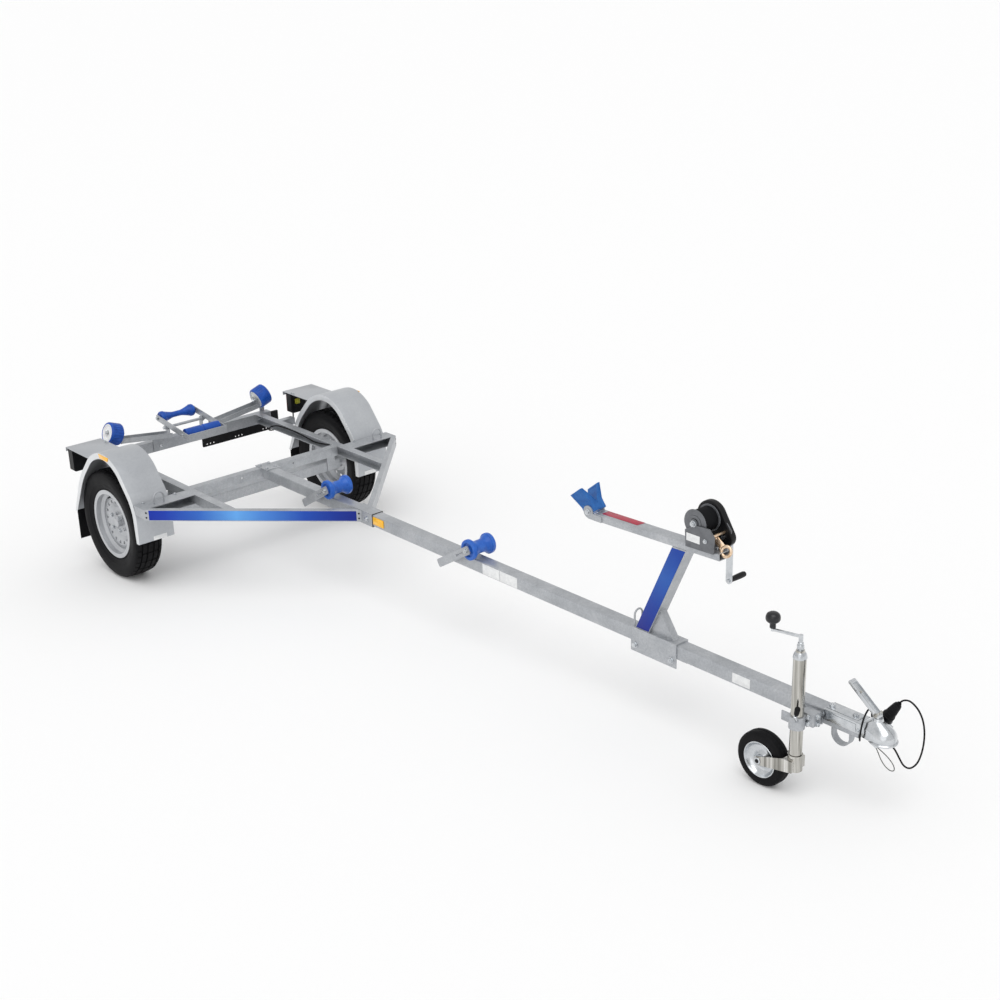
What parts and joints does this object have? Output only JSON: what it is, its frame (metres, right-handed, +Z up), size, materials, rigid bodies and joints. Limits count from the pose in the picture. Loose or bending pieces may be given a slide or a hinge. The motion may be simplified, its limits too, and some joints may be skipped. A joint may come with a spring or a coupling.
{
  "type": "boat trailer",
  "caption": "Unbraked boat trailer with a long drawbar, keel and side rollers, a rocking cradle, a winch post with bow snubber and a jockey wheel.",
  "frame": {"origin": "on the ground at the middle of the overall length and width, standing parked", "axes": "+X towards the coupling, +Y to the left seen from behind, +Z up"},
  "size_m": [4.9167, 1.57, 0.979],
  "materials": {
    "galvanised": "hot-dip galvanised steel",
    "tyre_rubber": "matt black",
    "wheel_silver": "silver lacquer",
    "blue_roller": "royal blue",
    "fender_grey": "light grey",
    "black_plastic": "black",
    "winch_grey": "grey paint",
    "strap_black": "woven webbing",
    "zinc_yellow": "yellow zinc",
    "zinc_bright": "bright zinc",
    "black_rubber": "matt black"
  },
  "bodies": {
    "chassis": {"axle_beam": "galvanised", "bow_snubber": "blue_roller", "brace_left": "galvanised", "brace_right": "galvanised", "cable_ferrule": "zinc_bright", "coupling_body": "zinc_bright", "coupling_lever": "zinc_bright", "drawbar": "galvanised", "fender_left": "fender_grey", "fender_right": "fender_grey", "front_crossmember": "galvanised", "jockey_clamp": "galvanised", "keel_bracket_mid": "galvanised", "keel_bracket_rear": "galvanised", "lamp_wiring": "black_rubber", "mudflap_left": "black_rubber", "mudflap_right": "black_rubber", "number_plate_holder": "black_plastic", "outer_stub_left": "galvanised", "outer_stub_right": "galvanised", "plug": "black_plastic", "plug_cord": "black_plastic", "post_saddle": "galvanised", "rear_crossmember": "galvanised", "roller_arm_left": "galvanised", "roller_arm_right": "galvanised", "safety_cable": "zinc_bright", "side_rail_left": "galvanised", "side_rail_right": "galvanised", "snubber_beam": "galvanised", "swing_arm_left": "galvanised", "swing_arm_right": "galvanised", "tail_lamp_left": "black_plastic", "tail_lamp_right": "black_plastic", "winch_cover": "black_plastic", "winch_frame": "winch_grey", "winch_hook": "zinc_yellow", "winch_post": "galvanised"},
    "road_wheel_right": {"tyre_right": "tyre_rubber", "rim_right": "wheel_silver"},
    "road_wheel_left": {"tyre_left": "tyre_rubber", "rim_left": "wheel_silver"},
    "side_roller_right": {"side_roller_right": "blue_roller"},
    "side_roller_left": {"side_roller_left": "blue_roller"},
    "keel_roller_rear": {"keel_roller_rear": "blue_roller"},
    "keel_roller_mid": {"keel_roller_mid": "blue_roller"},
    "cradle": {"cradle": "galvanised"},
    "cradle_bow_roller": {"cradle_bow_roller": "blue_roller"},
    "cradle_drum_roller": {"cradle_drum_roller": "blue_roller"},
    "winch_drum": {"winch_drum": "winch_grey", "winch_strap": "strap_black"},
    "winch_crank": {"winch_crank": "zinc_bright", "winch_grip": "black_plastic"},
    "jockey_mast": {"jockey_mast": "zinc_bright"},
    "jockey_crank": {"jockey_crank": "zinc_bright", "jockey_knob": "black_plastic"},
    "jockey_leg": {"jockey_leg": "zinc_bright"},
    "jockey_fork": {"jockey_fork": "zinc_bright"},
    "jockey_wheel": {"jockey_tyre": "tyre_rubber", "jockey_rim": "wheel_silver"}
  },
  "joints": [
    {"name": "road_wheel_right_spin", "type": "hinge", "parent": "chassis", "child": "road_wheel_right", "pos_m": [-1.83758, -0.685, 0.289], "axis": [0, 1, 0], "continuous": true},
    {"name": "road_wheel_left_spin", "type": "hinge", "parent": "chassis", "child": "road_wheel_left", "pos_m": [-1.83758, 0.685, 0.289], "axis": [0, 1, 0], "continuous": true},
    {"name": "side_roller_right_spin", "type": "hinge", "parent": "chassis", "child": "side_roller_right", "pos_m": [-2.23941, -0.472, 0.63301], "axis": [0.0134, -0.9397, 0.3418], "continuous": true},
    {"name": "side_roller_left_spin", "type": "hinge", "parent": "chassis", "child": "side_roller_left", "pos_m": [-2.23941, 0.472, 0.63301], "axis": [0.0134, 0.9397, 0.3418], "continuous": true},
    {"name": "keel_roller_rear_spin", "type": "hinge", "parent": "chassis", "child": "keel_roller_rear", "pos_m": [-0.8511, 0, 0.51151], "axis": [0, 1, 0], "continuous": true},
    {"name": "keel_roller_mid_spin", "type": "hinge", "parent": "chassis", "child": "keel_roller_mid", "pos_m": [0.22107, 0, 0.46946], "axis": [0, 1, 0], "continuous": true},
    {"name": "cradle_rock", "type": "hinge", "parent": "chassis", "child": "cradle", "pos_m": [-2.3079, 0, 0.57065], "axis": [0, 1, 0], "range_deg": [-12, 12]},
    {"name": "cradle_bow_roller_spin", "type": "hinge", "parent": "cradle", "child": "cradle_bow_roller", "pos_m": [-2.38575, 0, 0.61003], "axis": [0, 1, 0], "continuous": true},
    {"name": "cradle_drum_roller_spin", "type": "hinge", "parent": "cradle", "child": "cradle_drum_roller", "pos_m": [-2.11957, 0, 0.56479], "axis": [0, 1, 0], "continuous": true},
    {"name": "winch_drum_spin", "type": "hinge", "parent": "chassis", "child": "winch_drum", "pos_m": [1.54347, 0, 0.91297], "axis": [0, 1, 0], "continuous": true},
    {"name": "winch_crank_spin", "type": "hinge", "parent": "chassis", "child": "winch_crank", "pos_m": [1.61207, 0, 0.85023], "axis": [0, 1, 0], "continuous": true},
    {"name": "jockey_mast_slide", "type": "slide", "parent": "chassis", "child": "jockey_mast", "axis": [0.0392, 0, 0.9992], "range_m": [-0.2, 0]},
    {"name": "jockey_crank_turn", "type": "hinge", "parent": "jockey_mast", "child": "jockey_crank", "pos_m": [2.0943, -0.115, 0.56612], "axis": [0.0392, 0, 0.9992], "continuous": true},
    {"name": "jockey_leg_lift", "type": "slide", "parent": "jockey_mast", "child": "jockey_leg", "axis": [0.0392, 0, 0.9992], "range_m": [-0.2, 0]},
    {"name": "jockey_swivel", "type": "hinge", "parent": "jockey_leg", "child": "jockey_fork", "pos_m": [2.07906, -0.115, 0.17742], "axis": [0.0392, 0, 0.9992], "continuous": true},
    {"name": "jockey_wheel_spin", "type": "hinge", "parent": "jockey_fork", "child": "jockey_wheel", "pos_m": [1.93522, -0.115, 0.108], "axis": [0, 1, 0], "continuous": true}
  ],
  "couplings": [
    {"joint": "winch_crank_spin", "follows": "winch_drum_spin", "ratio": -4}
  ]
}
